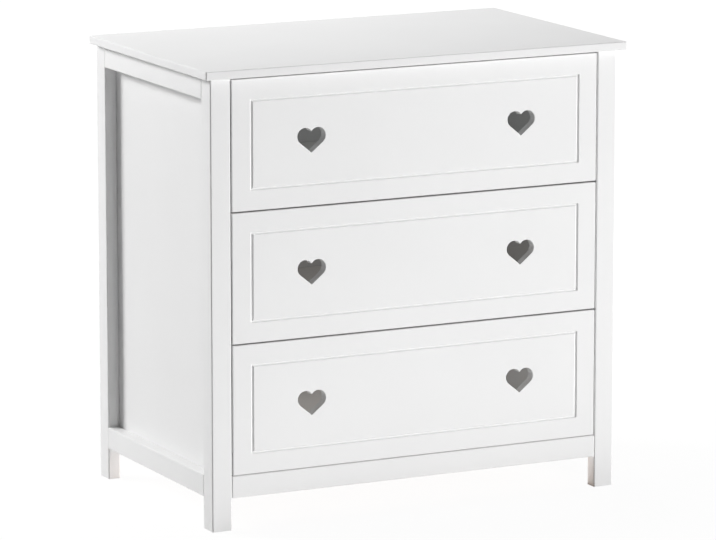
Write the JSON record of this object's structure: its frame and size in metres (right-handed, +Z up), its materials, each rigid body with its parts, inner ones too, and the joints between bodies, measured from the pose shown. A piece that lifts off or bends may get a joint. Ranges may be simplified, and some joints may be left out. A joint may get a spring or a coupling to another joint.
{
  "type": "chest of drawers",
  "caption": "White free-standing chest of drawers with framed sides, an overhanging top and flush drawers on roller runners, opened by heart-shaped finger holes.",
  "frame": {"origin": "centre of the footprint, on the floor", "axes": "+X to the right seen from the front, +Y to the back, +Z up; the drawers open towards -Y"},
  "size_m": [0.875, 0.53, 0.86],
  "materials": {
    "lacquer": "satin white lacquer on fibreboard",
    "foil": "matt white foil on chipboard",
    "hardboard": "raw rear face of hardboard",
    "white_hardboard": "white printed hardboard",
    "beech": "turned beech",
    "zinc": "bright zinc plating",
    "runner": "white epoxy powder coat on rolled steel",
    "nylon": "moulded nylon"
  },
  "bodies": {
    "carcass": {"top_board": "lacquer", "front_left_leg": "lacquer", "front_right_leg": "lacquer", "rear_left_leg": "lacquer", "rear_right_leg": "lacquer", "left_side_panel": "lacquer", "right_side_panel": "lacquer", "left_upper_rail": "lacquer", "right_upper_rail": "lacquer", "left_lower_rail": "lacquer", "right_lower_rail": "lacquer", "plinth_rail": "lacquer", "front_stretcher": "foil", "rear_stretcher": "foil", "rear_lower_rail": "foil", "back_panel": "hardboard", "frame_dowels": "beech", "cam_bolts": "zinc", "cam_nuts": "zinc", "back_panel_nails": "zinc", "runner_screws": "zinc", "bottom_left_runner": "runner", "bottom_right_runner": "runner", "middle_left_runner": "runner", "middle_right_runner": "runner", "top_left_runner": "runner", "top_right_runner": "runner"},
    "bottom_drawer": {"bottom_drawer_front": "lacquer", "bottom_drawer_left_side": "foil", "bottom_drawer_right_side": "foil", "bottom_drawer_back": "foil", "bottom_drawer_bottom": "white_hardboard", "bottom_drawer_left_slide": "runner", "bottom_drawer_right_slide": "runner", "bottom_drawer_screws": "zinc", "bottom_drawer_cams": "zinc"},
    "bottom_front_rollers": {"bottom_front_rollers": "nylon"},
    "bottom_rear_rollers": {"bottom_rear_rollers": "nylon"},
    "middle_drawer": {"middle_drawer_front": "lacquer", "middle_drawer_left_side": "foil", "middle_drawer_right_side": "foil", "middle_drawer_back": "foil", "middle_drawer_bottom": "white_hardboard", "middle_drawer_left_slide": "runner", "middle_drawer_right_slide": "runner", "middle_drawer_screws": "zinc", "middle_drawer_cams": "zinc"},
    "middle_front_rollers": {"middle_front_rollers": "nylon"},
    "middle_rear_rollers": {"middle_rear_rollers": "nylon"},
    "top_drawer": {"top_drawer_front": "lacquer", "top_drawer_left_side": "foil", "top_drawer_right_side": "foil", "top_drawer_back": "foil", "top_drawer_bottom": "white_hardboard", "top_drawer_left_slide": "runner", "top_drawer_right_slide": "runner", "top_drawer_screws": "zinc", "top_drawer_cams": "zinc"},
    "top_front_rollers": {"top_front_rollers": "nylon"},
    "top_rear_rollers": {"top_rear_rollers": "nylon"}
  },
  "joints": [
    {"name": "bottom_drawer_slide", "type": "slide", "parent": "carcass", "child": "bottom_drawer", "axis": [0, -1, 0], "range_m": [0, 0.34]},
    {"name": "bottom_front_roller_spin", "type": "hinge", "parent": "carcass", "child": "bottom_front_rollers", "pos_m": [0, -0.216, 0.136], "axis": [1, 0, 0], "range_deg": [0, 1825]},
    {"name": "bottom_rear_roller_spin", "type": "hinge", "parent": "bottom_drawer", "child": "bottom_rear_rollers", "pos_m": [0, 0.204, 0.136], "axis": [1, 0, 0], "range_deg": [0, 1825]},
    {"name": "middle_drawer_slide", "type": "slide", "parent": "carcass", "child": "middle_drawer", "axis": [0, -1, 0], "range_m": [0, 0.34]},
    {"name": "middle_front_roller_spin", "type": "hinge", "parent": "carcass", "child": "middle_front_rollers", "pos_m": [0, -0.216, 0.3825], "axis": [1, 0, 0], "range_deg": [0, 1825]},
    {"name": "middle_rear_roller_spin", "type": "hinge", "parent": "middle_drawer", "child": "middle_rear_rollers", "pos_m": [0, 0.204, 0.3825], "axis": [1, 0, 0], "range_deg": [0, 1825]},
    {"name": "top_drawer_slide", "type": "slide", "parent": "carcass", "child": "top_drawer", "axis": [0, -1, 0], "range_m": [0, 0.34]},
    {"name": "top_front_roller_spin", "type": "hinge", "parent": "carcass", "child": "top_front_rollers", "pos_m": [0, -0.216, 0.629], "axis": [1, 0, 0], "range_deg": [0, 1825]},
    {"name": "top_rear_roller_spin", "type": "hinge", "parent": "top_drawer", "child": "top_rear_rollers", "pos_m": [0, 0.204, 0.629], "axis": [1, 0, 0], "range_deg": [0, 1825]}
  ],
  "couplings": [
    {"joint": "bottom_front_roller_spin", "follows": "bottom_drawer_slide", "rad_per_m": 93.458},
    {"joint": "bottom_rear_roller_spin", "follows": "bottom_drawer_slide", "rad_per_m": 93.458},
    {"joint": "middle_front_roller_spin", "follows": "middle_drawer_slide", "rad_per_m": 93.458},
    {"joint": "middle_rear_roller_spin", "follows": "middle_drawer_slide", "rad_per_m": 93.458},
    {"joint": "top_front_roller_spin", "follows": "top_drawer_slide", "rad_per_m": 93.458},
    {"joint": "top_rear_roller_spin", "follows": "top_drawer_slide", "rad_per_m": 93.458}
  ]
}
